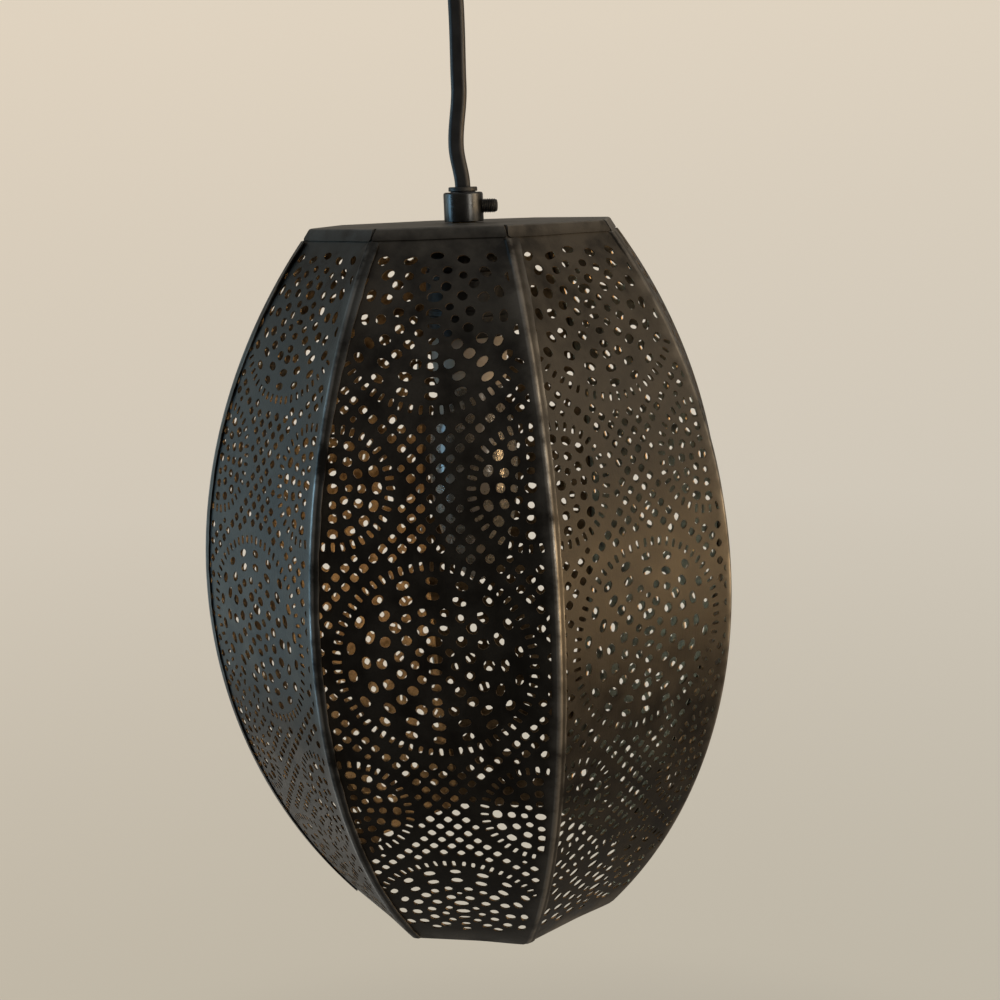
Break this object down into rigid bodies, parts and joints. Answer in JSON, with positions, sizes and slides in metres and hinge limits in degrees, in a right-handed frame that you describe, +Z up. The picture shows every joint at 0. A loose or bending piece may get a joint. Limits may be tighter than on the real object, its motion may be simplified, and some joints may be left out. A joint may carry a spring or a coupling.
{
  "type": "moroccan pendant lantern",
  "caption": "Bulging octagonal lantern of pierced sheet metal, open below, hung by a short flat flex from a ceiling cup, with a candle lamp inside.",
  "frame": {"origin": "on the ceiling, at the middle of the mounting bar's upper face, above the lantern's axis", "axes": "+Z up into the ceiling, -Y towards the viewer of the picture through the middle of panel_1, +X to the viewer's right"},
  "size_m": [0.2112, 0.2112, 0.4178],
  "materials": {
    "antique_iron": "blackened, semi-matt, rubbed at the edges",
    "dark_brass": "aged, dark",
    "brass": "satin",
    "steel": "zinc plated",
    "black_plastic": "moulded, satin",
    "pale_plastic": "moulded, satin",
    "grey_plastic": "moulded, matt",
    "flex_cover": "soft black sheath, slightly glossy",
    "frosted_glass": "frosted"
  },
  "bodies": {
    "ceiling_fitting": {"mounting_bar": "steel", "ceiling_cup": "antique_iron", "cup_screw_right": "dark_brass", "cup_screw_left": "dark_brass", "terminal_block": "pale_plastic", "terminal_screw": "steel", "ceiling_grip": "black_plastic", "ceiling_grip_nut": "black_plastic", "ceiling_flex_tail": "flex_cover"},
    "hanging_flex": {"flex": "flex_cover"},
    "lantern": {"panel_1": "antique_iron", "panel_2": "antique_iron", "panel_3": "antique_iron", "panel_4": "antique_iron", "panel_5": "antique_iron", "panel_6": "antique_iron", "panel_7": "antique_iron", "panel_8": "antique_iron", "top_plate": "antique_iron", "cord_grip": "antique_iron", "grip_bush": "black_plastic", "threaded_tube": "brass", "washer": "steel", "lock_nut": "brass", "holder_cap": "black_plastic", "holder_body": "black_plastic", "holder_core": "grey_plastic", "screw_shell": "brass", "contact_tongue": "brass", "lamp_flex_tail": "flex_cover"},
    "grip_screw": {"set_screw": "black_plastic"},
    "lamp": {"lamp_contact": "brass", "lamp_insulator": "black_plastic", "lamp_cap": "steel", "lamp_neck": "pale_plastic", "lamp_envelope": "frosted_glass"}
  },
  "joints": [
    {"name": "flex_swing", "type": "hinge", "parent": "ceiling_fitting", "child": "hanging_flex", "pos_m": [0, 0, -0.037], "axis": [1, 0, 0], "range_deg": [-15, 15]},
    {"name": "lantern_sway", "type": "hinge", "parent": "hanging_flex", "child": "lantern", "pos_m": [0, 0, -0.115], "axis": [0, 1, 0], "range_deg": [-10, 10]},
    {"name": "set_screw_turn", "type": "hinge", "parent": "lantern", "child": "grip_screw", "pos_m": [0.0085, 0, -0.1215], "axis": [1, 0, 0], "continuous": true},
    {"name": "lamp_turn", "type": "hinge", "parent": "lantern", "child": "lamp", "pos_m": [0, 0, -0.166], "axis": [0, 0, 1], "continuous": true}
  ]
}
